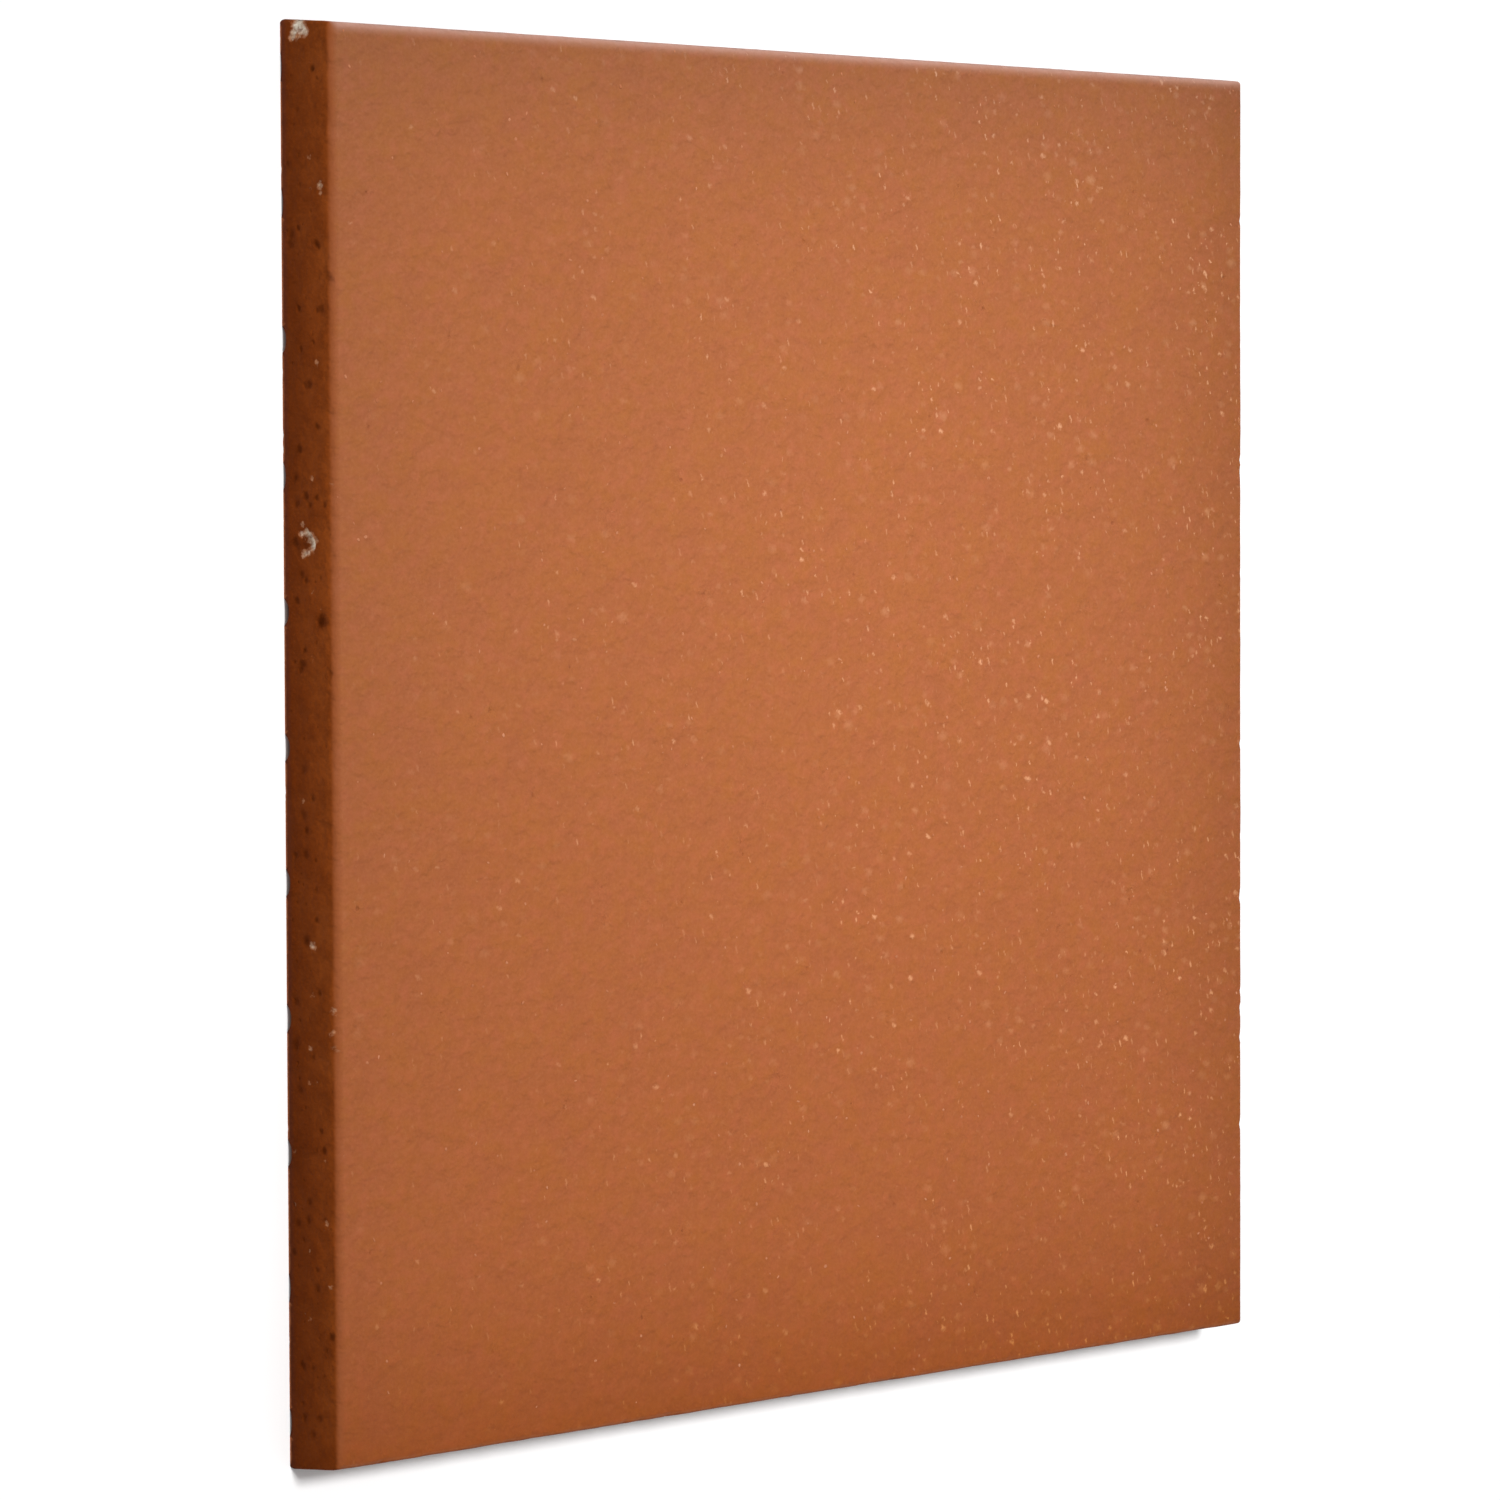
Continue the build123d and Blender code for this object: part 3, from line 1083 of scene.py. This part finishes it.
def grain_tree():
    """Sand grains strewn over the walking face, more of them towards high x."""
    tree, identifiers = node_group("sand_grains", {
        "Grains per Square Metre": "NodeSocketFloat",
        "Radius": "NodeSocketFloat",
        "Seed": "NodeSocketInt",
        "Grit": "NodeSocketMaterial"})
    given = add_node(tree, "NodeGroupInput")
    normal = add_node(tree, "GeometryNodeInputNormal").outputs[0]
    upward = add_node(tree, "ShaderNodeSeparateXYZ", {0: normal}).outputs[2]
    place = add_node(tree, "GeometryNodeInputPosition").outputs[0]
    x_axis = add_node(tree, "ShaderNodeSeparateXYZ", {0: place}).outputs[0]
    on_face = maths(tree, "GREATER_THAN", upward, 0.98)
    thick = maths(tree, "MULTIPLY", spread(tree, x_axis, -0.12, 0.12, 0.5, 1.4), on_face)
    density = maths(tree, "MULTIPLY", thick, given.outputs["Grains per Square Metre"])
    strewn = add_node(tree, "GeometryNodeDistributePointsOnFaces", {
        "Mesh": given.outputs["Geometry"], "Density": density, "Seed": given.outputs["Seed"]})
    tone = add_node(tree, "FunctionNodeRandomValue", {"Seed": 3}, data_type="FLOAT")
    toned = add_node(tree, "GeometryNodeStoreNamedAttribute", {
        "Geometry": strewn.outputs["Points"], "Name": "tone", "Value": tone.outputs[1]},
        data_type="FLOAT", domain="POINT")
    stone = add_node(tree, "GeometryNodeMeshIcoSphere", {
        "Radius": given.outputs["Radius"], "Subdivisions": 2})
    turn = add_node(tree, "FunctionNodeRandomValue", {
        0: (0.0, 0.0, 0.0), 1: (0.12, 0.12, 6.283), "Seed": 5}, data_type="FLOAT_VECTOR")
    size = add_node(tree, "FunctionNodeRandomValue", {
        0: (0.5, 0.4, 0.12), 1: (1.3, 1.0, 0.2), "Seed": 7}, data_type="FLOAT_VECTOR")
    placed = add_node(tree, "GeometryNodeInstanceOnPoints", {
        "Points": toned.outputs[0], "Instance": stone.outputs["Mesh"],
        "Rotation": turn.outputs[0], "Scale": size.outputs[0]})
    real = add_node(tree, "GeometryNodeRealizeInstances", {0: placed.outputs[0]})
    rounded = add_node(tree, "GeometryNodeSetShadeSmooth", {0: real.outputs[0]})
    finished = add_node(tree, "GeometryNodeSetMaterial", {
        "Geometry": rounded.outputs[0], "Material": given.outputs["Grit"]})
    add_node(tree, "NodeGroupOutput", {0: finished.outputs[0]})
    return tree, identifiers


def tile_piece():
    """The finished tile, which stands for its solid."""
    rough = bpy.data.objects.new("rough_tile", build_tile())
    bpy.context.collection.objects.link(rough)
    tree, identifiers = relief_tree()
    mesh = grown(rough, tree, identifiers, {
        "Torn Depth": 0.38 * MM,
        "Drag Depth": 0.06 * MM,
        "Side Depth": 0.07 * MM,
        "Arris Depth": 0.14 * MM,
        "Face Depth": 0.08 * MM,
        "Seed": 2.5})
    bpy.data.objects.remove(rough)
    mesh.name = "tile_body"
    mesh.materials.clear()
    mesh.materials.append(fired_clay())
    mesh.shade_smooth()
    mesh.set_sharp_from_angle(angle=math.radians(40))
    piece = bpy.data.objects.new("tile_body", mesh)
    bpy.context.collection.objects.link(piece)
    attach(piece, "root")
    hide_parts("split_tile")
    return piece


def grain_piece(tile):
    """The sand grains on the walking face."""
    tree, identifiers = grain_tree()
    mesh = grown(tile, tree, identifiers, {
        "Grains per Square Metre": 9000.0,
        "Radius": 0.33 * MM,
        "Seed": SEED,
        "Grit": pale_grit()})
    mesh.name = "sand_grains"
    piece = bpy.data.objects.new("sand_grains", mesh)
    bpy.context.collection.objects.link(piece)
    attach(piece, "root")


def camera():
    """The photograph's long lens, looking down on the tile from beside its shaded end."""
    data = bpy.data.cameras.new("camera")
    data.lens = CAMERA_LENS
    data.sensor_width = 36.0
    data.clip_start = 0.01
    data.clip_end = 50.0
    obj = bpy.data.objects.new("camera", data)
    obj.location = CAMERA_PLACE
    obj.rotation_euler = Euler([math.radians(angle) for angle in CAMERA_TURN], "XYZ")
    bpy.context.collection.objects.link(obj)
    bpy.context.scene.camera = obj


def aimed(name, data, place, target):
    """A light at a place, turned to face a target."""
    obj = bpy.data.objects.new(name, data)
    obj.location = place
    obj.rotation_euler = (Vector(target) - Vector(place)).to_track_quat("-Z", "Y").to_euler()
    bpy.context.collection.objects.link(obj)


def lights():
    """A broad soft key from beyond the tile's high-y edge, and a soft pool of light on its face."""
    key = bpy.data.lights.new("key_light", "SUN")
    key.energy = 2.2
    key.angle = math.radians(12)
    aimed("key_light", key, (-0.12, 0.30, 0.9), (0, 0, 0))
    pool = bpy.data.lights.new("pool_light", "SPOT")
    pool.energy = 20.0
    pool.spot_size = math.radians(19)
    pool.spot_blend = 1.0
    pool.shadow_soft_size = 0.12
    aimed("pool_light", pool, (-0.12, 0.15, 0.95), (0.02, 0.03, 0))


def seen_by_eye(tree):
    """1 for rays that show the background: straight, mirrored or through glass."""
    path = add_node(tree, "ShaderNodeLightPath")
    straight = maths(tree, "MAXIMUM", path.outputs["Is Camera Ray"], path.outputs["Is Glossy Ray"])
    return maths(tree, "MAXIMUM", straight, path.outputs["Is Transmission Ray"])


def white_room():
    """An even pale surround: soft light on the tile, white to the eye."""
    world = bpy.data.worlds.new("white_room")
    bpy.context.scene.world = world
    world.use_nodes = True
    tree = world.node_tree
    tree.nodes.clear()
    light = add_node(tree, "ShaderNodeBackground", {"Color": (1, 1, 1, 1), "Strength": 0.36})
    white = add_node(tree, "ShaderNodeBackground", {"Color": (1, 1, 1, 1), "Strength": 1.0})
    mixed = add_node(
        tree, "ShaderNodeMixShader",
        {0: seen_by_eye(tree), 1: light.outputs[0], 2: white.outputs[0]})
    add_node(tree, "ShaderNodeOutputWorld", {"Surface": mixed.outputs[0]})


def floor():
    """A wide pale floor that keeps the tile's shadow, with painted shade where the tile lies."""
    mesh = bpy.data.meshes.new("floor")
    reach = 6.0
    mesh.from_pydata([(-reach, -reach, 0), (reach, -reach, 0), (reach, reach, 0), (-reach, reach, 0)],
                     [], [(0, 1, 2, 3)])
    obj = bpy.data.objects.new("floor", mesh)
    bpy.context.collection.objects.link(obj)
    material, tree = new_material("pale_floor")
    place = add_node(tree, "ShaderNodeTexCoord").outputs["Object"]
    axes = add_node(tree, "ShaderNodeSeparateXYZ", {0: place}).outputs
    half_x = HALF_X * MM
    half_y = HALF_Y * MM
    # painted shade on the floor under the tile, seen through the grooves' open ends; the floor's glow fades
    # out there too
    under_x = spread(tree, maths(tree, "ABSOLUTE", axes[0]), half_x + 0.0001, half_x - 0.0010)
    under_y = spread(tree, maths(tree, "ABSOLUTE", axes[1]), half_y, half_y - 0.0003)
    under = maths(tree, "MULTIPLY", under_x, under_y)
    painted_shade_under_tile = blend(tree, under, (0.98, 0.98, 0.98, 1), (0.38, 0.31, 0.28, 1))
    matt = add_node(tree, "ShaderNodeBsdfDiffuse", {"Color": (0.8, 0.8, 0.8, 1)})
    pale = add_node(tree, "ShaderNodeBsdfDiffuse", {"Color": painted_shade_under_tile})
    glow = add_node(tree, "ShaderNodeEmission", {
        "Color": (1, 1, 1, 1), "Strength": spread(tree, under, 0.0, 1.0, 0.05, 0.0)})
    white = add_node(tree, "ShaderNodeAddShader", {0: pale.outputs[0], 1: glow.outputs[0]})
    mixed = add_node(
        tree, "ShaderNodeMixShader",
        {0: seen_by_eye(tree), 1: matt.outputs[0], 2: white.outputs[0]})
    add_node(tree, "ShaderNodeOutputMaterial", {"Surface": mixed.outputs[0]})
    mesh.materials.append(material)


bpy.context.scene.view_settings.view_transform = "Standard"
camera()
white_room()
floor()
lights()
grain_piece(tile_piece())
